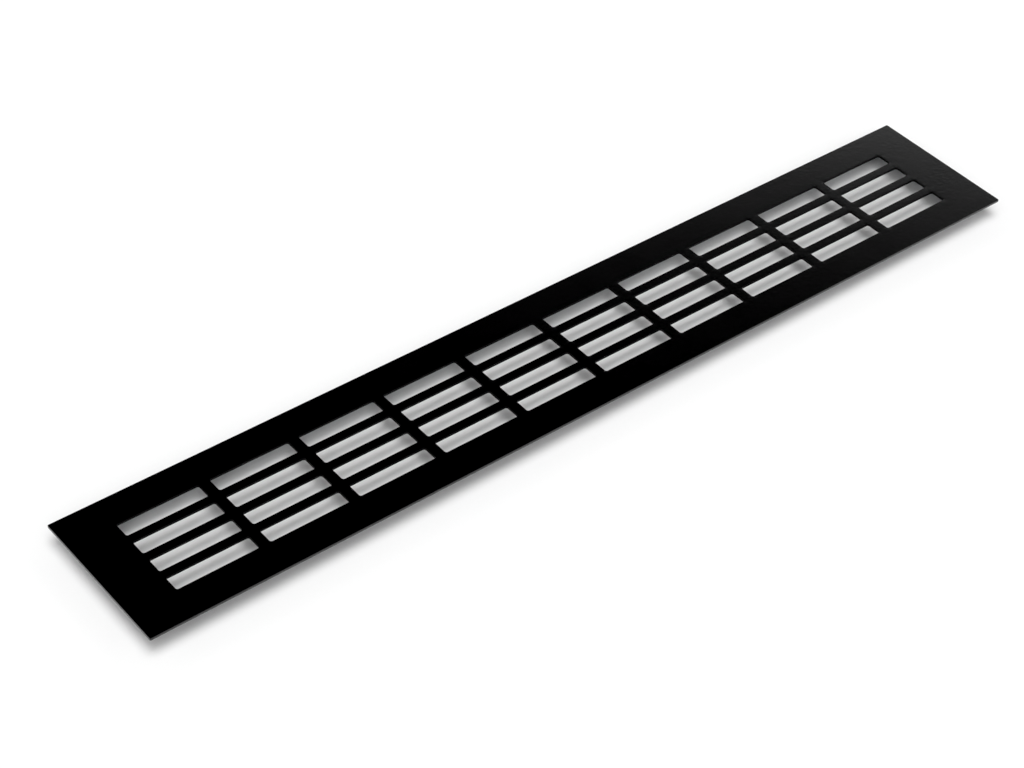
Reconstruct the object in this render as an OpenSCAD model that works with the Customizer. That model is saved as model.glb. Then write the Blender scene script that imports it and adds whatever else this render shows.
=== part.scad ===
// Flat slotted ventilation grille with a rear collar, for a cut-out in a panel.
// Origin: centre of the footprint, on the surface that the collar's lower edge rests on.
// X runs along the length, Y across the width, Z from the back of the grille to its face.

/* [Face plate] */
// Length of the plate
plate_l = 480; // [478:1:520]
// Width of the plate
plate_w = 75; // [74:0.5:100]
// Thickness of the plate
plate_t = 1.2; // [0.8:0.1:3]
// Radius of the plate's corners
plate_corner_r = 0.5; // [0.2:0.1:6]

/* [Slots] */
// Number of slots along the length
slot_cols = 10; // [2:1:16]
// Number of slots across the width
slot_rows = 4; // [1:1:6]
// Solid metal between the slots and each end of the plate
end_margin = 22.1; // [19:0.1:40]
// Solid metal between the slots and each side of the plate
side_margin = 15.6; // [13.5:0.1:20]
// Width of the bars that run across the plate, between slots
cross_bar = 5.2; // [3:0.1:10]
// Width of the bars that run along the plate, between slots
long_bar = 4.2; // [2:0.1:6]
// Radius of a slot's corners
slot_corner_r = 1; // [0.2:0.1:3]

/* [Rear collar] */
// Height of the rails
rail_h = 7.5; // [7:0.5:12]
// Thickness of the rails' metal
rail_t = 1; // [0.8:0.1:1.2]
// Width of a long rail's foot
side_foot_w = 6; // [5:0.5:6]
// Width of an end rail's foot
end_foot_w = 10; // [6:0.5:12]
// Radius in the inner corner of a rail
rail_root_r = 0.4; // [0.2:0.1:0.6]
// How far the plate reaches past the collar along its sides
side_overlap = 7.25; // [7:0.05:8]
// How far the plate reaches past the collar at its ends
end_overlap = 8.5; // [7:0.5:12]
// Gap where one rail meets another
rail_gap = 0.2; // [0.1:0.05:0.4]

/* [Bond tape] */
// Thickness of the tape between the collar and the plate
tape_t = 0.5; // [0.2:0.1:1]
// How far the tape stays inside the edges of a foot
tape_inset = 0.5; // [0.2:0.1:1]

/* [Gasket] */
// Thickness of the foam under the plate's rim
gasket_t = 1; // [0.5:0.1:1]
// Width of the foam
gasket_w = 4; // [2:0.5:4]
// How far the foam stays inside the plate's edge
gasket_inset = 1; // [0.5:0.1:1]
// Gap where two strips of foam meet
gasket_gap = 0.2; // [0.1:0.05:0.5]

/* [Corner cleats] */
// Length of each leg of a cleat
cleat_leg = 12; // [10:0.5:20]
// Height of a cleat
cleat_h = 5; // [4.8:0.1:5.2]
// Height of a cleat's lower edge above the rails' lower edge
cleat_rise = 0.8; // [0.5:0.1:1]
// Radius of a cleat's outer bend
cleat_bend_r = 1.6; // [1.2:0.1:2.5]

/* [Corner rivets] */
// Diameter of a rivet's shank
rivet_d = 2.4; // [1.6:0.1:2.4]
// Diameter of a rivet's hole
rivet_hole_d = 2.5; // [2.5:0.1:3]
// Diameter of a rivet's head
rivet_head_d = 4.2; // [3.6:0.1:4.4]
// Height of a rivet's head
rivet_head_h = 0.6; // [0.4:0.05:0.7]
// Diameter of the formed end of a rivet
rivet_tail_d = 3.4; // [3:0.1:4]
// Length of the formed end of a rivet
rivet_tail_h = 1.1; // [0.8:0.1:2]
// Diameter of the mandrel that is left in a rivet
mandrel_d = 1.3; // [0.8:0.1:1.4]
// Diameter of the mandrel's round end
mandrel_end_d = 1.8; // [1.6:0.1:2.2]
// Distance from the collar's inner corner to a rivet
rivet_offset = 7; // [5:0.5:8]

/* [Retaining clips] */
// Distance between clips along a rail
clip_spacing = 160; // [60:5:200]
// Width of a clip
clip_w = 14; // [10:0.5:20]
// Thickness of a clip's steel
clip_t = 0.4; // [0.3:0.05:0.4]
// Height of a clip's lowest point above the rails' lower edge
clip_rise = 0.35; // [0.3:0.05:0.5]
// Height of the top of a clip's inner leg
clip_top = 5.6; // [5.2:0.1:5.8]
// Gap between a clip's outer side and the rail
clip_web_gap = 0.1; // [0.1:0.05:0.2]
// Clearance around a clip in the rail's notch
clip_notch_gap = 0.5; // [0.3:0.1:1]
// Height of the rail's notch above a clip's bend
clip_notch_rise = 0.05; // [0.05:0.01:0.2]
// Width of the tang that latches a clip into the rail
tang_w = 4; // [3:0.5:6]
// Height of the tang's lower end
tang_z = 3.2; // [3:0.1:3.4]
// Length of the tang up the leg
tang_h = 1.6; // [1.2:0.1:1.8]
// How far the tang's free end stands into the rail's window
tang_reach = 0.55; // [0.3:0.05:0.6]
// Clearance around the tang in the rail's window
tang_gap = 0.15; // [0.1:0.05:0.3]

/* [Clip leaves] */
// Width of a leaf
leaf_w = 12; // [8:0.5:14]
// Angle at which the straight part of a leaf leans out
leaf_lean = 16; // [12:1:18]
// Length of the straight part of a leaf
leaf_straight = 3.6; // [3:0.1:3.8]
// Radius of the curve that turns a leaf upright
leaf_curve_r = 4; // [3:0.1:4.5]
// Radius of a leaf's upper corners
leaf_corner_r = 1.5; // [0.5:0.1:2.5]
// Height of a leaf's hinge line
leaf_hinge_z = 1.65; // [1.6:0.05:1.8]
// Gap between a leaf's lower end and its clip
leaf_gap = 0.1; // [0.05:0.05:0.2]

/* [Hidden] */
SIDES = ["near", "far"];
ENDS = ["left", "right"];
CLIP_PLACES = ["left", "middle", "right"];
CLIPS = [for (side = SIDES) for (place = CLIP_PLACES) str(side, "_", place)];
CORNERS = [for (side = SIDES) for (end = ENDS) str(side, "_", end)];

$fn = 48;
// A cut runs this far past the face that it opens
over = 1;

slot_l = (plate_l - 2 * end_margin - (slot_cols - 1) * cross_bar) / slot_cols;
slot_w = (plate_w - 2 * side_margin - (slot_rows - 1) * long_bar) / slot_rows;
col_pitch = slot_l + cross_bar;
row_pitch = slot_w + long_bar;

plate_z = rail_h + tape_t;
collar_l = plate_l - 2 * end_overlap;
collar_w = plate_w - 2 * side_overlap;
side_in = collar_w / 2 - rail_t;
end_in = collar_l / 2 - rail_t;
foot_z = rail_h - rail_t;
side_foot_in = collar_w / 2 - side_foot_w;

bend_out_r = (rail_t + clip_web_gap + 2 * clip_t) / 2;
bend_in_r = bend_out_r - clip_t;
bend_y = side_in - clip_t + bend_out_r;
bend_z = clip_rise + bend_out_r;
notch_h = bend_z + clip_notch_rise;
notch_w = clip_w + 2 * clip_notch_gap;
leaf_hinge_y = collar_w / 2 + clip_web_gap + clip_t / 2;
leaf_h = leaf_straight * cos(leaf_lean) + leaf_curve_r * sin(leaf_lean);
clips_per_side = len(CLIP_PLACES);
clip_xs = [for (i = [0 : clips_per_side - 1]) (i - (clips_per_side - 1) / 2) * clip_spacing];

steel_grey = "silver";
alloy_grey = "lightgray";
coating_black = "#101010";
foam_black = "#2b2b2b";
tape_grey = "dimgray";

// -1 for the near side or the left end, 1 for the far side or the right end
function sign_of(name) = (name == "near" || name == "left") ? -1 : 1;

// Rectangle, centred, with round corners
module rounded_rect(l, w, r) {
    square([l - 2 * r, w], center = true);
    square([l, w - 2 * r], center = true);
    for (x = [-1, 1])
        for (y = [-1, 1])
            translate([x * (l / 2 - r), y * (w / 2 - r)])
                circle(r);
}

// Sweeps an outline drawn in Y and Z along X, centred
module along_x(l) {
    translate([-l / 2, 0, 0])
        rotate([90, 0, 90])
            linear_extrude(l)
                children();
}

// Puts a part made for the far side on the named side
module on_side(side) {
    mirror([0, sign_of(side) < 0 ? 1 : 0, 0])
        children();
}

// Puts a part made for the right end on the named end
module on_end(end) {
    mirror([sign_of(end) < 0 ? 1 : 0, 0, 0])
        children();
}

// Block given by its lowest and highest corners
module block(low, high) {
    translate(low)
        cube(high - low);
}

module slot_field() {
    for (i = [0 : slot_cols - 1])
        for (j = [0 : slot_rows - 1])
            translate([(i - (slot_cols - 1) / 2) * col_pitch, (j - (slot_rows - 1) / 2) * row_pitch])
                rounded_rect(slot_l, slot_w, slot_corner_r);
}

module face_plate() {
    color(coating_black)
        translate([0, 0, plate_z])
            linear_extrude(plate_t)
                difference() {
                    rounded_rect(plate_l, plate_w, plate_corner_r);
                    slot_field();
                }
}

// Fillet in the inner corner of a rail, whose faces meet at y and z
module root_fillet(y, z) {
    difference() {
        translate([y - rail_root_r, z - rail_root_r])
            square(rail_root_r);
        translate([y - rail_root_r, z - rail_root_r])
            circle(rail_root_r);
    }
}

// Hole for a rivet through a long rail and the leg of a cleat on it
module side_rivet_hole() {
    translate([end_in - rivet_offset, side_in - rail_t - over, cleat_rise + cleat_h / 2])
        rotate([-90, 0, 0])
            cylinder(h = 2 * rail_t + 2 * over, d = rivet_hole_d);
}

// The same through an end rail
module end_rivet_hole() {
    translate([end_in - rail_t - over, side_in - rivet_offset, cleat_rise + cleat_h / 2])
        rotate([0, 90, 0])
            cylinder(h = 2 * rail_t + 2 * over, d = rivet_hole_d);
}

// Long rail on the far side, with a notch and a window at each clip
module side_rail() {
    difference() {
        union() {
            along_x(collar_l)
                translate([side_in, 0])
                    square([rail_t, rail_h]);
            along_x(2 * (end_in - rail_gap)) {
                translate([side_foot_in, foot_z])
                    square([side_foot_w, rail_t]);
                root_fillet(side_in, foot_z);
            }
        }
        for (x = clip_xs)
            translate([x, 0, 0]) {
                block([-notch_w / 2, side_in - over, -over], [notch_w / 2, collar_w / 2 + over, notch_h]);
                block(
                    [-tang_w / 2 - tang_gap, side_in - over, tang_z - tang_gap],
                    [tang_w / 2 + tang_gap, collar_w / 2 + over, tang_z + tang_h + tang_gap]
                );
            }
        for (end = ENDS)
            on_end(end)
                side_rivet_hole();
    }
}

module rail(side) {
    color(alloy_grey)
        on_side(side)
            side_rail();
}

// End rail: its web fits between the long rails' webs, and its foot between their feet
module end_rail(end) {
    color(alloy_grey)
        on_end(end)
            difference() {
                union() {
                    block([end_in, -side_in + rail_gap, 0], [collar_l / 2, side_in - rail_gap, foot_z]);
                    block([end_in, -side_foot_in + rail_gap, foot_z], [collar_l / 2, side_foot_in - rail_gap, rail_h]);
                    block(
                        [collar_l / 2 - end_foot_w, -side_foot_in + rail_gap, foot_z],
                        [end_in, side_foot_in - rail_gap, rail_h]
                    );
                    rotate([0, 0, -90])
                        along_x(2 * (side_foot_in - rail_gap))
                            root_fillet(end_in, foot_z);
                }
                for (side = SIDES)
                    on_side(side)
                        end_rivet_hole();
            }
}

module side_tape(side) {
    color(tape_grey)
        on_side(side)
            block(
                [-end_in + rail_gap + tape_inset, side_foot_in + tape_inset, rail_h],
                [end_in - rail_gap - tape_inset, collar_w / 2 - tape_inset, plate_z]
            );
}

module end_tape(end) {
    color(tape_grey)
        on_end(end)
            block(
                [collar_l / 2 - end_foot_w + tape_inset, -side_foot_in + rail_gap + tape_inset, rail_h],
                [collar_l / 2 - tape_inset, side_foot_in - rail_gap - tape_inset, plate_z]
            );
}

module side_gasket(side) {
    color(foam_black)
        on_side(side)
            block(
                [-plate_l / 2 + gasket_inset, plate_w / 2 - gasket_inset - gasket_w, plate_z - gasket_t],
                [plate_l / 2 - gasket_inset, plate_w / 2 - gasket_inset, plate_z]
            );
}

module end_gasket(end) {
    half_l = plate_w / 2 - gasket_inset - gasket_w - gasket_gap;
    color(foam_black)
        on_end(end)
            block(
                [plate_l / 2 - gasket_inset - gasket_w, -half_l, plate_z - gasket_t],
                [plate_l / 2 - gasket_inset, half_l, plate_z]
            );
}

// Bent angle in the far right corner, drawn from above
module cleat_outline() {
    difference() {
        union() {
            translate([end_in - cleat_leg, side_in - rail_t])
                square([cleat_leg - cleat_bend_r, rail_t]);
            translate([end_in - rail_t, side_in - cleat_leg])
                square([rail_t, cleat_leg - cleat_bend_r]);
            intersection() {
                translate([end_in - cleat_bend_r, side_in - cleat_bend_r])
                    circle(cleat_bend_r);
                translate([end_in - cleat_bend_r, side_in - cleat_bend_r])
                    square(cleat_bend_r);
            }
        }
        translate([end_in - cleat_bend_r, side_in - cleat_bend_r])
            circle(cleat_bend_r - rail_t);
    }
}

module corner_cleat(side, end) {
    color(steel_grey)
        on_side(side)
            on_end(end)
                difference() {
                    translate([0, 0, cleat_rise])
                        linear_extrude(cleat_h)
                            cleat_outline();
                    side_rivet_hole();
                    end_rivet_hole();
                }
}

// Blind rivet: its head rests on Z = 0 and its shank runs down
module rivet() {
    grip = 2 * rail_t;
    head_sphere_r = (pow(rivet_head_d / 2, 2) + pow(rivet_head_h, 2)) / (2 * rivet_head_h);
    difference() {
        union() {
            intersection() {
                translate([0, 0, rivet_head_h - head_sphere_r])
                    sphere(head_sphere_r);
                cylinder(h = 2 * rivet_head_h, d = 2 * rivet_head_d);
            }
            translate([0, 0, -grip - rivet_tail_h / 2])
                cylinder(h = grip + rivet_tail_h / 2, d = rivet_d);
            translate([0, 0, -grip - rivet_tail_h])
                cylinder(h = rivet_tail_h, d = rivet_tail_d);
            translate([0, 0, -grip - rivet_tail_h])
                sphere(d = mandrel_end_d);
        }
        translate([0, 0, -grip / 2])
            cylinder(h = grip + over, d = mandrel_d);
    }
}

module corner_rivets() {
    rivet_z = cleat_rise + cleat_h / 2;
    color(alloy_grey)
        for (side = SIDES)
            for (end = ENDS)
                on_side(side)
                    on_end(end) {
                        translate([end_in - rivet_offset, collar_w / 2, rivet_z])
                            rotate([-90, 0, 0])
                                rivet();
                        translate([collar_l / 2, side_in - rivet_offset, rivet_z])
                            rotate([0, 90, 0])
                                rivet();
                    }
}

// Cross-section of the fixed part of a clip: the inner leg and the bend under the rail
module clip_outline() {
    translate([side_in - clip_t, bend_z])
        square([clip_t, clip_top - bend_z]);
    translate([bend_y + bend_in_r, bend_z])
        square([clip_t, leaf_hinge_z - clip_t / 2 - leaf_gap - bend_z]);
    intersection() {
        difference() {
            translate([bend_y, bend_z])
                circle(bend_out_r);
            translate([bend_y, bend_z])
                circle(bend_in_r);
        }
        translate([bend_y - bend_out_r, bend_z - bend_out_r])
            square([2 * bend_out_r, bend_out_r]);
    }
}

// Tongue cut out of the inner leg and bent into the rail's window, joined at its top
module tang_outline() {
    polygon([
        [side_in - clip_t, tang_z + tang_h],
        [side_in, tang_z + tang_h],
        [side_in + tang_reach, tang_z],
        [side_in + tang_reach - clip_t, tang_z]
    ]);
}

// Fixed part of a clip, for the far side
module clip(x, side) {
    color(steel_grey)
        on_side(side)
            translate([x, 0, 0]) {
                difference() {
                    along_x(clip_w)
                        clip_outline();
                    block(
                        [-tang_w / 2 - tang_gap, side_in - clip_t - over, tang_z - tang_gap],
                        [tang_w / 2 + tang_gap, side_in + tang_gap, tang_z + tang_h]
                    );
                }
                along_x(tang_w)
                    tang_outline();
            }
}

// Cross-section of a leaf, with its hinge line at the origin and the outside towards +Y
module leaf_outline() {
    bend = [
        leaf_straight * sin(leaf_lean) - leaf_curve_r * cos(leaf_lean),
        leaf_straight * cos(leaf_lean) + leaf_curve_r * sin(leaf_lean)
    ];
    circle(clip_t / 2);
    rotate(-leaf_lean)
        translate([-clip_t / 2, 0])
            square([clip_t, leaf_straight]);
    intersection() {
        difference() {
            translate(bend)
                circle(leaf_curve_r + clip_t / 2);
            translate(bend)
                circle(leaf_curve_r - clip_t / 2);
        }
        translate(bend)
            polygon([
                [0, 0],
                2 * leaf_curve_r * [cos(leaf_lean), -sin(leaf_lean)],
                2 * leaf_curve_r * [1, 0]
            ]);
    }
    translate(bend + [leaf_curve_r, 0])
        circle(clip_t / 2);
}

// What rounding an upper corner of a leaf takes away, drawn in X and Z
module leaf_corner_cut() {
    centre = [leaf_w / 2 - leaf_corner_r, leaf_h + clip_t - leaf_corner_r];
    difference() {
        translate(centre)
            square(leaf_corner_r + over);
        translate(centre)
            circle(leaf_corner_r);
    }
}

// Leaf of a clip, for the far side
module leaf(x, side) {
    color(steel_grey)
        on_side(side)
            translate([x, leaf_hinge_y, leaf_hinge_z])
                difference() {
                    along_x(leaf_w)
                        leaf_outline();
                    for (corner = ENDS)
                        on_end(corner)
                            rotate([90, 0, 0])
                                linear_extrude(4 * leaf_h, center = true)
                                    leaf_corner_cut();
                }
}

face_plate();
for (side = SIDES) {
    rail(side);
    side_tape(side);
    side_gasket(side);
    for (end = ENDS)
        corner_cleat(side, end);
    for (i = [0 : clips_per_side - 1]) {
        place = str(side, "_", CLIP_PLACES[i]);
        clip(clip_xs[i], side);
        leaf(clip_xs[i], side);
    }
}
for (end = ENDS) {
    end_rail(end);
    end_tape(end);
    end_gasket(end);
}
corner_rivets();
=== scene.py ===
"""Looks of the slotted ventilation grille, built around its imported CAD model. Units are metres."""
import math
import random

import bmesh
import bpy
from mathutils import Matrix, Vector


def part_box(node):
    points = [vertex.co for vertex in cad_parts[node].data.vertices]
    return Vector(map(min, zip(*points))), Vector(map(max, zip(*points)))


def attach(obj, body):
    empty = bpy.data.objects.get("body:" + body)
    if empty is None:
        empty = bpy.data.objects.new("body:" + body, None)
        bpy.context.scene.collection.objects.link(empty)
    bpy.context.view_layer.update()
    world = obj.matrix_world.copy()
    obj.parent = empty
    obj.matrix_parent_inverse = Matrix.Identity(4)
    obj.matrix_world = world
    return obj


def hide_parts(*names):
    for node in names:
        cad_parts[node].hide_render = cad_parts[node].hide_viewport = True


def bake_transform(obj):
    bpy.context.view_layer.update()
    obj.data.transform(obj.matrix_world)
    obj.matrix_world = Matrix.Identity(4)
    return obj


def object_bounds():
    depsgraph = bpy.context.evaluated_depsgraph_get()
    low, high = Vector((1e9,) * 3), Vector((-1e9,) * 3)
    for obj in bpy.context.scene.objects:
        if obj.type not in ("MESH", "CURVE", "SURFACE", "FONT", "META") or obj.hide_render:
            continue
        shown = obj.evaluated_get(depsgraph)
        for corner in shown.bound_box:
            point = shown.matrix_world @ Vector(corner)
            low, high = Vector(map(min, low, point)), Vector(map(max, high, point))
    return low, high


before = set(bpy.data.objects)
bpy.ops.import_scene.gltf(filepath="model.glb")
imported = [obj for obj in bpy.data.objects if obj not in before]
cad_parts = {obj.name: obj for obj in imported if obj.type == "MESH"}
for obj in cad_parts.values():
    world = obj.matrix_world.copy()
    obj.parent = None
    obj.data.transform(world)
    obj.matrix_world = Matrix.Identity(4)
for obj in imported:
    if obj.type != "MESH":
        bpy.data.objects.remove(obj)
cad_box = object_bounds()

MM = 0.001
SAME_PLACE = 0.01 * MM
TINY = 1e-7
GRILLE = "grille"
SIDES = {"near": -1, "far": 1}
ENDS = {"left": -1, "right": 1}
PLACES = ("left", "middle", "right")

# Camera: where it looks, from how many metres away, how it is turned, and its lens in mm
CAMERA_TARGET = Vector((-36.08, -4.57, 9.2)) * MM
CAMERA_DISTANCE = 1.00721
CAMERA_TURN = math.radians(-42.011)
CAMERA_ELEVATION = math.radians(41.522)
CAMERA_ROLL = math.radians(4.335)
CAMERA_LENS = 82.28

# Surroundings: (elevation in degrees where a change of radiance starts and ends, how much it adds)
SKY_BASE = 0.3
SKY_STEPS = ((18, 22, 0.90), (28.4, 40.4, -0.45), (31.4, 35.9, -0.75), (56, 70, 0.2))
# Lamps: (tilt from overhead towards the camera, angular size, both in degrees, strength)
LAMPS = ((0, 45, 1.25), (15, 60, 0.62), (30, 60, 0.78), (45, 70, 0.47))
# Side of the square floor in metres, and the light up to which the film shows pure black
FLOOR_SIDE = 12.0
BLACK_LEVEL = 0.0034

# Slots and edges of the plate
SLOT_COLUMNS = 10
SLOT_ROWS = 4
END_MARGIN = 22.1 * MM
SIDE_MARGIN = 15.6 * MM
CROSS_BAR = 5.2 * MM
LONG_BAR = 4.2 * MM
SLOT_CORNER = 1 * MM
PLATE_CORNER = 0.5 * MM
PUNCH_ROLL = 0.12 * MM
BACK_CHAMFER = 0.04 * MM
# Mesh steps round a corner and over a rolled edge, and the signs of X and Y in each quarter
CORNER_STEPS = 8
ROLL_STEPS = 4
QUARTERS = ((1, 1), (-1, 1), (-1, -1), (1, -1))


# ---------------------------------------------------------------- materials

class Finish:
    """A node material with a Principled shader, and short ways to add nodes to it."""

    def __init__(self, name, **sockets):
        self.material = bpy.data.materials.new(name)
        self.material.use_nodes = True
        self.tree = self.material.node_tree
        self.shader = self.tree.nodes["Principled BSDF"]
        for socket, value in sockets.items():
            self.shader.inputs[socket.replace("_", " ")].default_value = value
        self.place = self.tree.nodes.new("ShaderNodeTexCoord").outputs["Object"]

    def link(self, out, node, socket):
        self.tree.links.new(out, node.inputs[socket])

    def stretched(self, scale):
        """Object coordinates, each multiplied by a factor."""
        node = self.tree.nodes.new("ShaderNodeMapping")
        node.inputs["Scale"].default_value = scale
        self.link(self.place, node, "Vector")
        return node.outputs["Vector"]

    def noise(self, size, detail=3.0, roughness=0.5, vector=None):
        """Noise whose features are about size metres across."""
        node = self.tree.nodes.new("ShaderNodeTexNoise")
        node.inputs["Scale"].default_value = 1 / size
        node.inputs["Detail"].default_value = detail
        node.inputs["Roughness"].default_value = roughness
        self.link(vector or self.place, node, "Vector")
        return node.outputs["Fac"]

    def cells(self, size):
        """Distance from the points of a random scatter, about size metres apart."""
        node = self.tree.nodes.new("ShaderNodeTexVoronoi")
        node.inputs["Scale"].default_value = 1 / size
        self.link(self.place, node, "Vector")
        return node.outputs["Distance"]

    def attribute(self, name):
        node = self.tree.nodes.new("ShaderNodeAttribute")
        node.attribute_name = name
        return node.outputs["Fac"]

    def remap(self, value, low, high, to_low, to_high):
        node = self.tree.nodes.new("ShaderNodeMapRange")
        limits = {"From Min": low, "From Max": high, "To Min": to_low, "To Max": to_high}
        for socket, number in limits.items():
            node.inputs[socket].default_value = number
        self.link(value, node, "Value")
        return node.outputs["Result"]

    def maths(self, operation, first, second):
        node = self.tree.nodes.new("ShaderNodeMath")
        node.operation = operation
        for index, value in enumerate((first, second)):
            if isinstance(value, (int, float)):
                node.inputs[index].default_value = value
            else:
                self.tree.links.new(value, node.inputs[index])
        return node.outputs["Value"]

    def mix(self, first, second, share):
        """A weighted mean of two values, with the first one's share given."""
        part = self.maths("MULTIPLY", first, share)
        rest = self.maths("MULTIPLY", second, 1 - share)
        return self.maths("ADD", part, rest)

    def colour(self, value, *stops):
        """Colours the shader by value. Each stop is (position, (red, green, blue))."""
        ramp = self.tree.nodes.new("ShaderNodeValToRGB")
        elements = ramp.color_ramp.elements
        while len(elements) < len(stops):
            elements.new(0.5)
        for element, (position, rgb) in zip(elements, stops):
            element.position = position
            element.color = (*rgb, 1)
        self.link(value, ramp, "Fac")
        self.link(ramp.outputs["Color"], self.shader, "Base Color")

    def roughness(self, value):
        self.link(value, self.shader, "Roughness")

    def bump(self, *layers):
        """Stacks bump layers on the shader. Each layer is (height, depth in metres)."""
        normal = None
        for height, depth in layers:
            node = self.tree.nodes.new("ShaderNodeBump")
            node.inputs["Strength"].default_value = 1
            node.inputs["Distance"].default_value = depth
            self.link(height, node, "Height")
            if normal:
                self.link(normal, node, "Normal")
            normal = node.outputs["Normal"]
        self.link(normal, self.shader, "Normal")


def coating_finish():
    """Fine satin black coating, a little thinner where the plate's outer edge rolls over."""
    finish = Finish("satin_black_coating", Specular_IOR_Level=0.5)
    grain = finish.noise(0.7 * MM, detail=2)
    mottle = finish.noise(1.4 * MM, detail=1)
    clouds = finish.noise(22 * MM, detail=2)
    edge = finish.attribute("edge")
    shade = finish.mix(grain, clouds, 0.6)
    shade = finish.maths("ADD", shade, finish.maths("MULTIPLY", edge, 0.5))
    finish.colour(
        shade,
        (0.25, (0.0015, 0.0015, 0.0016)),
        (0.70, (0.0028, 0.0028, 0.0029)),
        (1.0, (0.0080, 0.0080, 0.0085)),
    )
    finish.roughness(finish.remap(finish.mix(grain, clouds, 0.4), 0.3, 0.7, 0.08, 0.10))
    finish.bump((finish.noise(5 * MM, detail=1), 5e-6), (mottle, 1.7e-5), (grain, 1.1e-5))
    return finish.material


def slot_wall_finish():
    """Thin matt film of coating on the sheared walls of the slots, with faint shear lines."""
    finish = Finish("matt_black_in_slots", Specular_IOR_Level=0.1)
    shear = finish.noise(0.15 * MM, detail=3, vector=finish.stretched((1, 1, 0.15)))
    finish.colour(shear, (0.3, (0.0018, 0.0018, 0.0019)), (0.7, (0.0040, 0.0040, 0.0042)))
    finish.roughness(finish.remap(shear, 0.3, 0.7, 0.50, 0.70))
    finish.bump((shear, 8e-6))
    return finish.material


def drawn_aluminium_finish(name, lines):
    """Mill-finish extrusion. lines scales the coordinates, least along the die lines."""
    finish = Finish(name, Metallic=1.0)
    die_lines = finish.noise(0.22 * MM, detail=4, roughness=0.65, vector=finish.stretched(lines))
    bloom = finish.noise(9 * MM, detail=4)
    shade = finish.mix(die_lines, bloom, 0.55)
    finish.colour(
        shade,
        (0.25, (0.50, 0.51, 0.525)),
        (0.55, (0.66, 0.67, 0.68)),
        (0.85, (0.77, 0.775, 0.78)),
    )
    finish.roughness(finish.remap(shade, 0.3, 0.7, 0.44, 0.30))
    finish.bump((die_lines, 7e-6), (finish.noise(0.8 * MM, detail=3), 3e-6))
    return finish.material


def zinc_finish():
    """Bright zinc plating over pressed steel, with faint crystal patches."""
    finish = Finish("zinc_plate", Metallic=1.0)
    patches = finish.cells(2.2 * MM)
    fine = finish.noise(0.35 * MM, detail=3)
    shade = finish.mix(patches, fine, 0.5)
    finish.colour(shade, (0.2, (0.42, 0.44, 0.48)), (0.5, (0.58, 0.60, 0.63)), (0.8, (0.68, 0.69, 0.70)))
    finish.roughness(finish.remap(patches, 0.0, 0.8, 0.28, 0.46))
    finish.bump((fine, 6e-6))
    return finish.material


def spring_steel_finish():
    """Tempered spring strip: rolling lines along the strip and a faint straw to blue oxide."""
    finish = Finish("spring_steel", Metallic=1.0)
    rolling = finish.noise(0.12 * MM, detail=4, roughness=0.6, vector=finish.stretched((1, 0.04, 0.04)))
    oxide = finish.noise(3.5 * MM, detail=3)
    finish.colour(
        finish.mix(rolling, oxide, 0.35),
        (0.30, (0.235, 0.245, 0.275)),
        (0.50, (0.335, 0.335, 0.345)),
        (0.72, (0.41, 0.385, 0.345)),
    )
    finish.roughness(finish.remap(rolling, 0.3, 0.7, 0.22, 0.36))
    finish.bump((rolling, 4e-6))
    return finish.material


def rivet_finish():
    """Soft aluminium, burnished by the setting tool."""
    finish = Finish("rivet_aluminium", Metallic=1.0)
    marks = finish.noise(0.3 * MM, detail=4)
    finish.colour(marks, (0.3, (0.60, 0.61, 0.62)), (0.7, (0.78, 0.78, 0.79)))
    finish.roughness(finish.remap(marks, 0.3, 0.7, 0.20, 0.36))
    finish.bump((marks, 6e-6))
    return finish.material


def mandrel_finish():
    """Snapped steel mandrel: dull, dark and grainy."""
    finish = Finish("mandrel_steel", Metallic=1.0)
    grain = finish.noise(0.09 * MM, detail=4)
    finish.colour(grain, (0.3, (0.16, 0.16, 0.165)), (0.7, (0.30, 0.295, 0.29)))
    finish.roughness(finish.remap(grain, 0.3, 0.7, 0.40, 0.60))
    finish.bump((grain, 2e-5))
    return finish.material


def tape_finish():
    """Grey acrylic bonding tape with fine filler specks."""
    finish = Finish("grey_bond_tape")
    specks = finish.noise(0.12 * MM, detail=3)
    finish.colour(specks, (0.35, (0.085, 0.085, 0.088)), (0.65, (0.15, 0.15, 0.152)))
    finish.roughness(finish.remap(specks, 0.3, 0.7, 0.50, 0.68))
    finish.bump((specks, 1.2e-5))
    return finish.material


def foam_finish():
    """Closed-cell black foam, with its cut cells showing as pits, and painted shade darkening the inside of
    each pit.
    """
    finish = Finish("black_cell_foam")
    pits_and_painted_shade = finish.cells(0.42 * MM)
    fine = finish.noise(0.15 * MM, detail=3)
    # Painted shade: the base colour gets darker towards the middle of each pit, where the bump sinks
    finish.colour(pits_and_painted_shade, (0.05, (0.006, 0.006, 0.0065)), (0.6, (0.022, 0.022, 0.0235)))
    finish.roughness(finish.remap(fine, 0.3, 0.7, 0.72, 0.92))
    finish.bump((pits_and_painted_shade, 6e-5), (fine, 1.5e-5))
    return finish.material


def floor_finish():
    """White paper sweep."""
    finish = Finish("white_paper", Specular_IOR_Level=0.0)
    fibres = finish.noise(1.5 * MM, detail=3)
    finish.colour(fibres, (0.2, (0.845, 0.845, 0.845)), (0.8, (0.855, 0.855, 0.855)))
    finish.roughness(finish.remap(fibres, 0.3, 0.7, 0.9, 1.0))
    return finish.material


# ---------------------------------------------------------------- mesh helpers

BEVEL_SEGMENTS = 2
BEVEL_FROM_ANGLE = math.radians(30)


def add_piece(name, bm, *materials):
    """Makes an object of a bmesh, in the part's frame."""
    bmesh.ops.recalc_face_normals(bm, faces=bm.faces)
    mesh = bpy.data.meshes.new(name)
    bm.to_mesh(mesh)
    bm.free()
    for material in materials:
        mesh.materials.append(material)
    mesh.shade_smooth()
    piece = bpy.data.objects.new(name, mesh)
    bpy.context.scene.collection.objects.link(piece)
    return piece


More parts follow.
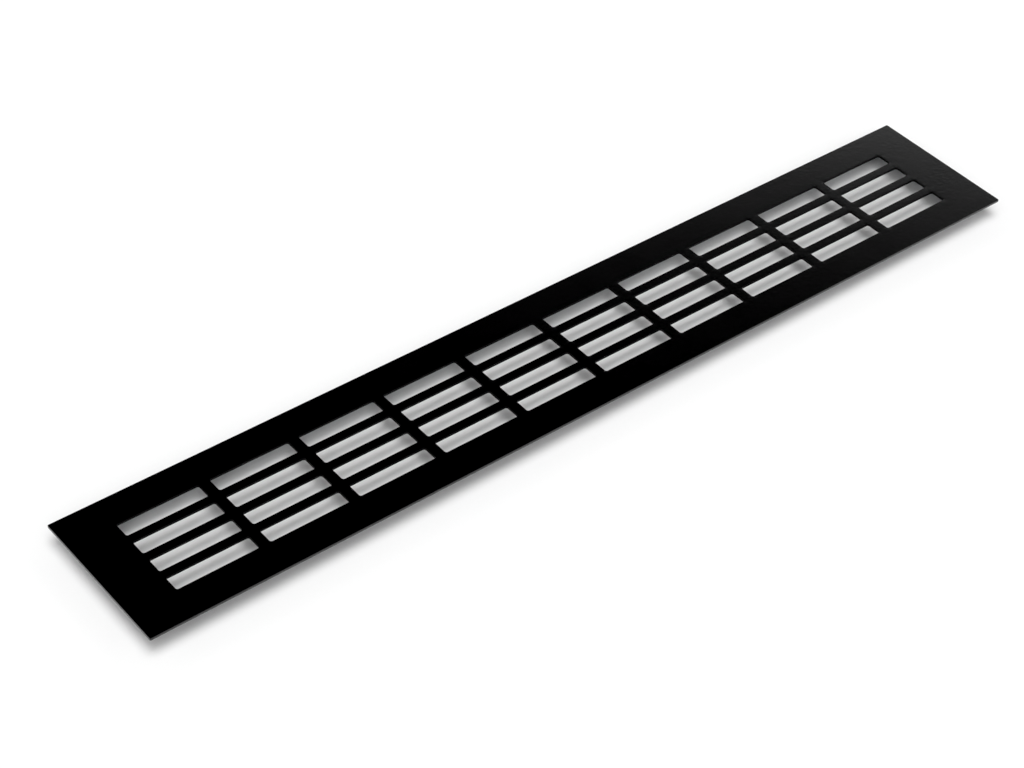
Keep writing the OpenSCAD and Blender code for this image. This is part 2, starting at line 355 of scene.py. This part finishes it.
def add_bevel(piece, width):
    """Rounds the sharp edges of a piece and keeps its flat faces flat."""
    bevel = piece.modifiers.new("edge_round", "BEVEL")
    bevel.width = width
    bevel.segments = BEVEL_SEGMENTS
    bevel.limit_method = "ANGLE"
    bevel.angle_limit = BEVEL_FROM_ANGLE
    bevel.harden_normals = True
    return piece


def keep_flats(piece):
    """Takes a smooth piece's shading from its large faces."""
    weighted = piece.modifiers.new("flat_faces", "WEIGHTED_NORMAL")
    weighted.keep_sharp = True
    return piece


def apply_modifiers(piece):
    """Makes the modified shape the piece's own mesh."""
    graph = bpy.context.evaluated_depsgraph_get()
    graph.update()
    shaped = bpy.data.meshes.new_from_object(piece.evaluated_get(graph))
    piece.modifiers.clear()
    piece.data = shaped
    return piece


def bridge(bm, ring, other, material=0, closed=True):
    """Quads between two rings of vertices of the same length."""
    count = len(ring)
    for i in range(count if closed else count - 1):
        j = (i + 1) % count
        face = bm.faces.new((ring[i], ring[j], other[j], other[i]))
        face.material_index = material


# ---------------------------------------------------------------- face plate

def corner_loop(half_x, half_y, radius):
    """Points around a rectangle with round corners, anticlockwise from the right-hand far corner."""
    points = []
    for quarter, (sx, sy) in enumerate(QUARTERS):
        for step in range(CORNER_STEPS + 1):
            angle = (quarter + step / CORNER_STEPS) * math.pi / 2
            points.append((
                sx * (half_x - radius) + radius * math.cos(angle),
                sy * (half_y - radius) + radius * math.sin(angle),
            ))
    return points


def cell_loop(slot, half_x, half_y):
    """The slot loop's points moved straight out to a rectangular cell around it."""
    points = []
    for index, (x, y) in enumerate(slot):
        quarter, step = divmod(index, CORNER_STEPS + 1)
        sx, sy = QUARTERS[quarter]
        first_half = step < CORNER_STEPS / 2
        if step == CORNER_STEPS / 2:
            points.append((sx * half_x, sy * half_y))
        elif first_half == (quarter % 2 == 0):
            points.append((sx * half_x, y))
        else:
            points.append((x, sy * half_y))
    return points


def roll_profile(top, bottom):
    """(retreat from the wall, height, edge value) from the face down a punched wall to the back."""
    rows = []
    for step in range(ROLL_STEPS + 1):
        angle = step / ROLL_STEPS * math.pi / 2
        rows.append((
            PUNCH_ROLL * (1 - math.sin(angle)),
            top - PUNCH_ROLL * (1 - math.cos(angle)),
            math.sin(2 * angle),
        ))
    rows.append((0, bottom + BACK_CHAMFER, 0.0))
    rows.append((BACK_CHAMFER, bottom, 0.0))
    return rows


def make_plate(face_material, wall_material):
    """The punched face plate: clean quads around every slot, rolled edges in front, crisp ones behind."""
    low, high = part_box("face_plate")
    half_x, half_y = high.x, high.y
    slot_x = ((half_x - END_MARGIN) * 2 - (SLOT_COLUMNS - 1) * CROSS_BAR) / SLOT_COLUMNS / 2
    slot_y = ((half_y - SIDE_MARGIN) * 2 - (SLOT_ROWS - 1) * LONG_BAR) / SLOT_ROWS / 2
    cell_x, cell_y = slot_x + CROSS_BAR / 2, slot_y + LONG_BAR / 2
    bm = bmesh.new()
    edge = bm.verts.layers.float.new("edge")
    shared = {}

    def vertex(x, y, z, value=0.0):
        """One vertex per place, so that neighbouring cells join."""
        key = (round(x / MM, 4), round(y / MM, 4), round(z / MM, 4))
        if key not in shared:
            shared[key] = bm.verts.new((x, y, z))
            shared[key][edge] = value
        return shared[key]

    def ring(points, centre, z, value=0.0):
        return [vertex(centre[0] + x, centre[1] + y, z, value) for x, y in points]

    centres = [
        ((i - (SLOT_COLUMNS - 1) / 2) * 2 * cell_x, (j - (SLOT_ROWS - 1) / 2) * 2 * cell_y)
        for i in range(SLOT_COLUMNS)
        for j in range(SLOT_ROWS)
    ]
    rows = roll_profile(high.z, low.z)
    wall = corner_loop(slot_x, slot_y, SLOT_CORNER)
    cell = cell_loop(wall, cell_x, cell_y)
    for centre in centres:
        rings = [
            ring(corner_loop(slot_x + grow, slot_y + grow, SLOT_CORNER + grow), centre, z, value)
            for grow, z, value in rows
        ]
        for upper, lower in zip(rings, rings[1:]):
            bridge(bm, upper, lower, material=1)
        bridge(bm, ring(cell, centre, high.z), rings[0])
        bridge(bm, rings[-1], ring(cell, centre, low.z))
    field_x, field_y = SLOT_COLUMNS * cell_x, SLOT_ROWS * cell_y
    add_margins(vertex, bm, rows, (half_x, half_y), (field_x, field_y), centres, cell)
    piece = add_piece("punched_plate", bm, face_material, wall_material)
    keep_flats(piece)
    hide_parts("face_plate")
    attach(piece, GRILLE)


def field_lines(centres, cell, axis, limit):
    """Places along one axis where the cells' outlines have points on the field's border."""
    other = 1 - axis
    return sorted({
        round(centre[axis] + point[axis], 9)
        for centre in centres
        for point in cell
        if abs(abs(centre[other] + point[other]) - limit) < SAME_PLACE
    })


def add_margins(vertex, bm, rows, half, field, centres, cell):
    """Solid margins from the slot field to the plate's edge, and the edge itself."""
    xs = field_lines(centres, cell, 0, field[1])
    ys = field_lines(centres, cell, 1, field[0])
    for inset, z, _ in (rows[0], rows[-1]):
        edge_x, edge_y = half[0] - inset, half[1] - inset
        for sign in (-1, 1):
            inner = [vertex(x, sign * field[1], z) for x in xs]
            outer = [vertex(x, sign * edge_y, z) for x in xs]
            bridge(bm, inner, outer, closed=False)
            inner = [vertex(sign * field[0], y, z) for y in ys]
            outer = [vertex(sign * edge_x, y, z) for y in ys]
            bridge(bm, inner, outer, closed=False)
        for sx in (-1, 1):
            for sy in (-1, 1):
                add_corner(vertex, bm, (sx, sy), field, (edge_x, edge_y), PLATE_CORNER - inset, z)
    outlines = [
        edge_outline(vertex, xs, ys, (half[0] - inset, half[1] - inset), PLATE_CORNER - inset, z, value)
        for inset, z, value in rows
    ]
    for upper, lower in zip(outlines, outlines[1:]):
        bridge(bm, upper, lower)


def corner_arc(sign, edge, radius):
    """Points of one rounded outer corner, from its X face to its Y face."""
    centre = (edge[0] - radius, edge[1] - radius)
    return [
        (
            sign[0] * (centre[0] + radius * math.cos(step / CORNER_STEPS * math.pi / 2)),
            sign[1] * (centre[1] + radius * math.sin(step / CORNER_STEPS * math.pi / 2)),
        )
        for step in range(CORNER_STEPS + 1)
    ]


def add_corner(vertex, bm, sign, field, edge, radius, z):
    """The plate's corner block: a fan from the slot field's corner to the rounded outer corner."""
    hub = vertex(sign[0] * field[0], sign[1] * field[1], z)
    start = vertex(sign[0] * edge[0], sign[1] * field[1], z)
    end = vertex(sign[0] * field[0], sign[1] * edge[1], z)
    arc = [vertex(x, y, z) for x, y in corner_arc(sign, edge, radius)]
    rim = [start, *arc, end]
    for first, second in zip(rim, rim[1:]):
        bm.faces.new((hub, first, second))


def edge_outline(vertex, xs, ys, edge, radius, z, value):
    """Every vertex around the plate's edge at one height, anticlockwise from the right-hand side."""
    loop = [(edge[0], y) for y in ys]
    loop += corner_arc((1, 1), edge, radius)
    loop += [(x, edge[1]) for x in reversed(xs)]
    loop += reversed(corner_arc((-1, 1), edge, radius))
    loop += [(-edge[0], y) for y in reversed(ys)]
    loop += corner_arc((-1, -1), edge, radius)
    loop += [(x, -edge[1]) for x in xs]
    loop += reversed(corner_arc((1, -1), edge, radius))
    return [vertex(x, y, z, value) for x, y in loop]


# ---------------------------------------------------------------- retaining clips

# Spring strip of a clip and its leaf: half widths, radii and lengths along it
CLIP_T = 0.4 * MM
CLIP_HALF_W = 7 * MM
LEAF_HALF_W = 6 * MM
LEAF_LEAN = math.radians(16)
LEAF_STRAIGHT = 3.6 * MM
LEAF_CURVE_R = 4 * MM
LEAF_CORNER_R = 1.5 * MM
LEG_CORNER_R = 0.8 * MM
SHOULDER = 0.6 * MM
HINGE_FILLET = 1.2 * MM
# Tang lanced out of a clip's inner leg: its low and top ends are heights above the part's base
TANG_HALF_W = 2 * MM
TANG_GAP = 0.15 * MM
TANG_LOW = 3.2 * MM
TANG_TOP = 4.8 * MM
TANG_REACH = 0.55 * MM
TANG_CURL = 0.25
TANG_STEPS = 8
# Mesh of a strip: row spacing, edge rounding, rows round a corner, and its columns outside the
# tang as shares of its half width
STRIP_STEP = 0.3 * MM
STRIP_ROUND = 0.06 * MM
ROUND_ROWS = 6
OUTER_COLUMNS = (0.5, 0.8, 1)


def walk(start, heading, moves, distance):
    """Place and heading after a distance along moves, each a (length, turn) line or arc in Y and Z."""
    place = Vector(start)
    for length, turn in moves:
        part = min(distance, length)
        if turn:
            radius, after = length / turn, heading + turn * part / length
            across = math.sin(after) - math.sin(heading)
            up = math.cos(heading) - math.cos(after)
            place += radius * Vector((across, up))
            heading = after
        else:
            place += part * Vector((math.cos(heading), math.sin(heading)))
        distance -= part
        if distance <= 0:
            break
    return place, heading


def strip_moves(clip_low, clip_high, leaf_low, leaf_high):
    """The far side's clip strip: down the inner leg, round the bend, up and out along the leaf."""
    bend_r = (clip_high.y - clip_low.y - CLIP_T) / 2
    bend_z = clip_low.z + CLIP_T / 2 + bend_r
    hinge_z = leaf_low.z + CLIP_T / 2
    tangent = HINGE_FILLET * math.tan(LEAF_LEAN / 2)
    leaf_top = hinge_z + LEAF_STRAIGHT * math.cos(LEAF_LEAN) + LEAF_CURVE_R * math.sin(LEAF_LEAN)
    return [
        (clip_high.z - bend_z, 0),
        (math.pi * bend_r, math.pi),
        (hinge_z - tangent - bend_z, 0),
        (HINGE_FILLET * LEAF_LEAN, -LEAF_LEAN),
        (LEAF_STRAIGHT - tangent, 0),
        (LEAF_CURVE_R * LEAF_LEAN, LEAF_LEAN),
        (leaf_high.z - leaf_top, 0),
    ]


def round_off(half_w, radius, distance):
    """Half width of a strip at a distance from an end with round corners."""
    short = min(radius, max(0.0, radius - distance))
    return half_w - radius + math.sqrt(radius ** 2 - short ** 2)


def strip_half_width(distance, total, shoulder_at):
    """Half width along the strip: wide in the clip, narrower in the leaf, round at both ends."""
    if distance < shoulder_at:
        return round_off(CLIP_HALF_W, LEG_CORNER_R, distance)
    share = (distance - shoulder_at) / SHOULDER
    if share < 1:
        return CLIP_HALF_W + (LEAF_HALF_W - CLIP_HALF_W) * share * share * (3 - 2 * share)
    return round_off(LEAF_HALF_W, LEAF_CORNER_R, total - distance)


def strip_rows(total, cuts):
    """Distances of the strip's rows: close together in the round corners, and one at each cut."""
    steps = [1 - math.cos(i / ROUND_ROWS * math.pi / 2) for i in range(ROUND_ROWS + 1)]
    rows = [LEG_CORNER_R * s for s in steps] + [total - LEAF_CORNER_R * s for s in steps] + list(cuts)
    stops = sorted(rows)
    for first, second in zip(stops, stops[1:]):
        count = max(1, round((second - first) / STRIP_STEP))
        rows += [first + (second - first) * i / count for i in range(1, count)]
    return sorted({round(row, 8) for row in rows})


def make_clip(side, place, material):
    """One bent spring strip that stands for a clip and its leaf, and bends at the leaf's hinge line."""
    name = f"{side}_{place}"
    sign = SIDES[side]
    clip_low, clip_high = far_box(f"clip_{name}", sign)
    leaf_low, leaf_high = far_box(f"leaf_{name}", sign)
    centre_x = (clip_low.x + clip_high.x) / 2
    moves = strip_moves(clip_low, clip_high, leaf_low, leaf_high)
    total = sum(length for length, _ in moves)
    window_top, window_low = clip_high.z - TANG_TOP, clip_high.z - TANG_LOW + TANG_GAP
    shoulder_at = moves[0][0] + moves[1][0]
    rows = strip_rows(total, (window_top, window_low, shoulder_at, shoulder_at + SHOULDER))
    start = Vector((clip_low.y + CLIP_T / 2, clip_high.z))
    columns = [0, TANG_HALF_W, TANG_HALF_W + TANG_GAP, *(share * CLIP_HALF_W for share in OUTER_COLUMNS)]
    across = sorted({s * x for x in columns for s in (-1, 1)})
    bm = bmesh.new()
    grid = []
    for row in rows:
        (y, z), _ = walk(start, -math.pi / 2, moves, row)
        half_w = strip_half_width(row, total, shoulder_at)
        grid.append([bm.verts.new((centre_x + x * half_w / CLIP_HALF_W, sign * y, z)) for x in across])
    for first, second, row, after in zip(grid, grid[1:], rows, rows[1:]):
        in_window = row > window_top - TINY and after < window_low + TINY
        for i in range(len(across) - 1):
            middle = abs(across[i] + across[i + 1]) / 2
            if not (in_window and middle < TANG_HALF_W + TANG_GAP):
                bm.faces.new((first[i], first[i + 1], second[i + 1], second[i]))
    add_tang(bm, grid[rows.index(round(window_top, 8))], across, sign)
    for vert in [v for v in bm.verts if not v.link_faces]:
        bm.verts.remove(vert)
    piece = add_piece(f"clip_strip_{name}", bm, material)
    solid = piece.modifiers.new("strip_gauge", "SOLIDIFY")
    solid.thickness = CLIP_T
    solid.offset = 0
    solid.use_even_offset = True
    apply_modifiers(add_bevel(piece, STRIP_ROUND))
    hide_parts(f"clip_{name}", f"leaf_{name}")
    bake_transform(piece)


def far_box(node, sign):
    """A node's corners as if it were on the far side."""
    low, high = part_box(node)
    if sign < 0:
        return Vector((low.x, -high.y, low.z)), Vector((high.x, -low.y, high.z))
    return low, high


def add_tang(bm, root_row, across, sign):
    """Tongue lanced out of the inner leg, joined at its top and bent into the rail's window."""
    root = [vert for vert, x in zip(root_row, across) if abs(x) <= TANG_HALF_W]
    previous = root
    for step in range(1, TANG_STEPS + 1):
        share = step / TANG_STEPS
        push = TANG_REACH * (share - math.sin(math.pi * share) / math.pi * TANG_CURL)
        drop = (TANG_TOP - TANG_LOW) * share
        row = [bm.verts.new(vert.co + Vector((0, sign * push, -drop))) for vert in root]
        bridge(bm, previous, row, closed=False)
        previous = row


# ---------------------------------------------------------------- rivets

# Set rivets: mesh steps round the axis and round a curve, place, radii and heights
RIVET_TURN = 40
ROUND_STEPS = 8
RIVET_FROM_CORNER = 7 * MM
SHANK_R = 1.2 * MM
HEAD_R = 2.1 * MM
HEAD_H = 0.6 * MM
TAIL_R = 1.7 * MM
TAIL_H = 1.1 * MM
BORE_R = 0.65 * MM
# Blunt rim of the head
HEAD_RIM_H = 0.072 * MM
HEAD_RIM_W = 0.036 * MM
# Lip where the bore opens in the head: its width, and how far its soft edge reaches out and down
LIP_W = 0.14 * MM
LIP_OUT = 0.05 * MM
LIP_TOP = 0.10 * MM
LIP_LOW = 0.16 * MM
# Flare of the shank under the head, then the blind end's first step, bulge and mouth
NECK_W = 0.1 * MM
NECK_DROP = 0.05 * MM
TAIL_STEP = 0.12 * MM
TAIL_STEP_DROP = 0.02 * MM
TAIL_BULGE = 0.3 * MM
TAIL_INSET = 0.05 * MM
TAIL_MOUTH_R = 0.72 * MM
# Snapped mandrel: its head, its gap in the bore, and the share of the grip down to its broken end
MANDREL_HEAD_R = 0.9 * MM
MANDREL_GAP = 0.01 * MM
BREAK_SHARE = 0.30
# Broken end of a mandrel: (radius, depth below its highest point), both in mm
MANDREL_BREAK = ((0, 0.06), (0.2, 0), (0.42, 0.03), (0.6, 0.15))


def dome(radius, height, start_r, steps):
    """Points of a spherical dome from a radius near its top out to its rim."""
    ball = (radius ** 2 + height ** 2) / (2 * height)
    start, end = math.asin(start_r / ball), math.asin(radius / ball)
    angles = [start + (end - start) * i / steps for i in range(steps + 1)]
    return [(ball * math.sin(a), height - ball + ball * math.cos(a)) for a in angles]


def rivet_body(grip):
    """Outline of a set rivet, from its bore over the head and down to the bulge of its blind end."""
    outline = [(BORE_R, -0.5 * grip), (BORE_R, HEAD_H - LIP_LOW), (BORE_R + LIP_OUT, HEAD_H - LIP_TOP)]
    outline += dome(HEAD_R, HEAD_H, BORE_R + LIP_W, ROUND_STEPS)[:-1]
    outline += [(HEAD_R, HEAD_RIM_H), (HEAD_R - HEAD_RIM_W, 0)]
    outline += [(SHANK_R + NECK_W, 0), (SHANK_R, -NECK_DROP)]
    outline += [(SHANK_R, -grip), (SHANK_R + TAIL_STEP, -grip - TAIL_STEP_DROP)]
    for step in range(ROUND_STEPS + 1):
        angle = step / ROUND_STEPS * math.pi
        outline.append((
            TAIL_R - TAIL_BULGE + TAIL_BULGE * math.sin(angle),
            -grip - TAIL_H / 2 + (TAIL_H / 2 - TAIL_INSET) * math.cos(angle),
        ))
    outline.append((TAIL_MOUTH_R, -grip - TAIL_H))
    return outline


def mandrel_stub(grip):
    """Outline of the snapped mandrel down the bore."""
    break_z = -BREAK_SHARE * grip
    broken_end = [(radius * MM, break_z - depth * MM) for radius, depth in MANDREL_BREAK]
    return [*broken_end, (BORE_R - MANDREL_GAP, -0.5 * grip)]


def mandrel_head(grip):
    """Outline of the mandrel's round head, from 10 degrees above its middle down to its tip."""
    centre = -grip - TAIL_H
    angles = [math.radians(a) for a in range(10, -91, -10)]
    return [(MANDREL_HEAD_R * math.cos(a), centre + MANDREL_HEAD_R * math.sin(a)) for a in angles]


def lathe(bm, outline, place, material):
    """Turns an outline of (radius, height) points round an axis and puts it in place."""
    rings = []
    for radius, height in outline:
        if radius < TINY:
            rings.append([bm.verts.new(place @ Vector((0, 0, height)))])
            continue
        angles = [i / RIVET_TURN * 2 * math.pi for i in range(RIVET_TURN)]
        rings.append([
            bm.verts.new(place @ Vector((radius * math.cos(a), radius * math.sin(a), height)))
            for a in angles
        ])
    for ring, after in zip(rings, rings[1:]):
        if len(ring) > 1 and len(after) > 1:
            bridge(bm, ring, after, material)
            continue
        tip, rim = (ring[0], after) if len(ring) == 1 else (after[0], ring)
        for i in range(RIVET_TURN):
            bm.faces.new((tip, rim[i], rim[(i + 1) % RIVET_TURN])).material_index = material


def make_rivets(body_material, mandrel_material):
    """The eight corner rivets, each with its snapped mandrel."""
    _, side_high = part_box("rail_far")
    _, end_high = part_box("end_rail_right")
    cleat_low, cleat_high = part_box("corner_cleat_far_right")
    wall = side_high.y - cleat_high.y
    grip = 2 * wall
    z = (cleat_low.z + cleat_high.z) / 2
    bm = bmesh.new()
    for sx in ENDS.values():
        for sy in SIDES.values():
            on_side = Vector((sx * (cleat_high.x - RIVET_FROM_CORNER), sy * side_high.y, z))
            on_end = Vector((sx * end_high.x, sy * (cleat_high.y - RIVET_FROM_CORNER), z))
            for place, outward in ((on_side, Vector((0, sy, 0))), (on_end, Vector((sx, 0, 0)))):
                turn = Matrix.Translation(place) @ outward.to_track_quat("Z", "Y").to_matrix().to_4x4()
                lathe(bm, rivet_body(grip), turn, 0)
                lathe(bm, mandrel_stub(grip), turn, 1)
                lathe(bm, mandrel_head(grip), turn, 1)
    piece = add_piece("rivet_set", bm, body_material, mandrel_material)
    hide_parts("corner_rivets")
    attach(piece, GRILLE)


# ---------------------------------------------------------------- foam and tape

# Uneven sides: mesh step, number of waves, and their lowest and highest rate in radians per step
SOFT_STEP = 2.5 * MM
WAVE_COUNT = 10
WAVE_RATES = (0.05, 1.4 / 3)
# Cross-section: steps to half its height, and the share of half its height that is rounded
OUTLINE_STEPS = 4
ROUND_SHARE = 0.25


def soft_strip(name, node, material, bulge, rounding, unevenness, seed):
    """A soft strip squeezed between two flat faces: bulged, slightly uneven sides and soft corners."""
    low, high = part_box(node)
    size, centre = high - low, (low + high) / 2
    along = 0 if size.x > size.y else 1
    half_w, half_h = size[1 - along] / 2, size.z / 2
    rng = random.Random(seed)
    count = max(2, round(size[along] / SOFT_STEP))
    waves = [(rng.uniform(*WAVE_RATES) / SOFT_STEP, rng.uniform(0, 2 * math.pi)) for _ in range(WAVE_COUNT)]
    bm = bmesh.new()

    def waviness(distance, offset):
        return sum(math.sin(distance * rate + phase + offset) for rate, phase in waves) / WAVE_COUNT

    rings = []
    for i in range(count + 1):
        distance = size[along] * (i / count - 0.5)
        ring = []
        for across, up in soft_outline(half_w, half_h, bulge, rounding):
            side = math.copysign(1, across)
            swell = unevenness * waviness(distance, side) * (1 - (up / half_h) ** 2)
            point = [0, 0, centre.z + up]
            point[along] = centre[along] + distance
            point[1 - along] = centre[1 - along] + across + side * swell
            ring.append(bm.verts.new(point))
        rings.append(ring)
    for first, second in zip(rings, rings[1:]):
        bridge(bm, first, second)
    for ring in (rings[0], rings[-1]):
        bm.faces.new(ring)
    piece = keep_flats(add_piece(name, bm, material))
    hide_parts(node)
    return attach(piece, GRILLE)


def soft_outline(half_w, half_h, bulge, rounding):
    """Cross-section of a soft strip as (across, up) points, anticlockwise from the lower right."""
    side = []
    for step in range(2 * OUTLINE_STEPS + 1):
        up = -1 + step / OUTLINE_STEPS
        pull = rounding * max(0.0, abs(up) - 1 + ROUND_SHARE) / ROUND_SHARE
        side.append((half_w - pull + bulge * (1 - up * up), up * half_h))
    return side + [(-across, up) for across, up in reversed(side)]


def make_soft_strips(tape, foam):
    for seed, place in enumerate([*SIDES, *ENDS]):
        soft_strip(
            f"tape_{place}", f"bond_tape_{place}", tape,
            bulge=0.06 * MM, rounding=0.04 * MM, unevenness=0.03 * MM, seed=seed,
        )
        gasket = soft_strip(
            f"foam_{place}", f"gasket_{place}", foam,
            bulge=0.05 * MM, rounding=0.12 * MM, unevenness=0.08 * MM, seed=10 + seed,
        )


# ---------------------------------------------------------------- CAD nodes

def dress(node, material, bevel):
    """Gives a CAD node its finish and softens its edges."""
    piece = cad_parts[node]
    piece.data.materials.clear()
    piece.data.materials.append(material)
    add_bevel(piece, bevel)


def dress_cad_nodes():
    along_x = drawn_aluminium_finish("mill_aluminium_side", (0.012, 1, 1))
    along_y = drawn_aluminium_finish("mill_aluminium_end", (1, 0.012, 1))
    zinc = zinc_finish()
    for side in SIDES:
        dress(f"rail_{side}", along_x, 0.12 * MM)
        for end in ENDS:
            dress(f"corner_cleat_{side}_{end}", zinc, 0.1 * MM)
    for end in ENDS:
        dress(f"end_rail_{end}", along_y, 0.12 * MM)


# ---------------------------------------------------------------- stage

def make_floor():
    bm = bmesh.new()
    half = FLOOR_SIDE / 2
    corners = ((-half, -half), (half, -half), (half, half), (-half, half))
    bm.faces.new([bm.verts.new((x, y, cad_box[0].z)) for x, y in corners])
    add_piece("floor", bm, floor_finish())


def make_surroundings():
    """Soft light by elevation: a bright ring above the horizon, dark higher up, and dim overhead."""
    world = bpy.data.worlds.new("soft_studio")
    bpy.context.scene.world = world
    world.use_nodes = True
    tree = world.node_tree
    split = tree.nodes.new("ShaderNodeSeparateXYZ")
    tree.links.new(tree.nodes.new("ShaderNodeTexCoord").outputs["Generated"], split.inputs["Vector"])
    elevation = tree.nodes.new("ShaderNodeMath")
    elevation.operation = "ARCSINE"
    tree.links.new(split.outputs["Z"], elevation.inputs[0])
    base = tree.nodes.new("ShaderNodeValue")
    base.outputs["Value"].default_value = SKY_BASE
    radiance = base.outputs["Value"]
    for start, end, change in SKY_STEPS:
        step = tree.nodes.new("ShaderNodeMapRange")
        step.interpolation_type = "SMOOTHSTEP"
        step.inputs["From Min"].default_value = math.radians(start)
        step.inputs["From Max"].default_value = math.radians(end)
        step.inputs["To Max"].default_value = change
        tree.links.new(elevation.outputs["Value"], step.inputs["Value"])
        total = tree.nodes.new("ShaderNodeMath")
        total.operation = "ADD"
        tree.links.new(step.outputs["Result"], total.inputs[0])
        tree.links.new(radiance, total.inputs[1])
        radiance = total.outputs["Value"]
    background = tree.nodes["Background"]
    background.inputs["Color"].default_value = (1, 1, 1, 1)
    tree.links.new(radiance, background.inputs["Strength"])


def make_lamps():
    """Broad softboxes overhead and above the camera, which don't mirror in the coating."""
    towards_camera = Vector((math.sin(CAMERA_TURN), -math.cos(CAMERA_TURN), 0))
    for index, (tilt, size, strength) in enumerate(LAMPS):
        light = bpy.data.lights.new(f"softbox_{index}", "SUN")
        light.angle = math.radians(size)
        light.energy = strength
        lamp = bpy.data.objects.new(light.name, light)
        lean = math.radians(tilt)
        direction = math.sin(lean) * towards_camera + Vector((0, 0, math.cos(lean)))
        lamp.matrix_world = direction.to_track_quat("Z", "Y").to_matrix().to_4x4()
        lamp.visible_glossy = False
        bpy.context.scene.collection.objects.link(lamp)


def make_camera():
    forward = Vector((
        -math.sin(CAMERA_TURN) * math.cos(CAMERA_ELEVATION),
        math.cos(CAMERA_TURN) * math.cos(CAMERA_ELEVATION),
        -math.sin(CAMERA_ELEVATION),
    ))
    data = bpy.data.cameras.new("camera")
    data.lens = CAMERA_LENS
    camera = bpy.data.objects.new("camera", data)
    turn = forward.to_track_quat("-Z", "Y").to_matrix().to_4x4()
    place = Matrix.Translation(CAMERA_TARGET - forward * CAMERA_DISTANCE)
    camera.matrix_world = place @ turn @ Matrix.Rotation(CAMERA_ROLL, 4, "Z")
    bpy.context.scene.collection.objects.link(camera)
    bpy.context.scene.camera = camera


def set_film():
    """A plain film response, with deep blacks."""
    view = bpy.context.scene.view_settings
    view.view_transform = "Standard"
    view.look = "None"
    view.use_curve_mapping = True
    view.curve_mapping.black_level = (BLACK_LEVEL,) * 3
    view.curve_mapping.update()


make_camera()
make_plate(coating_finish(), slot_wall_finish())
steel = spring_steel_finish()
for clip_side in SIDES:
    for clip_place in PLACES:
        make_clip(clip_side, clip_place, steel)
make_rivets(rivet_finish(), mandrel_finish())
make_soft_strips(tape_finish(), foam_finish())
dress_cad_nodes()
make_floor()
make_surroundings()
make_lamps()
set_film()
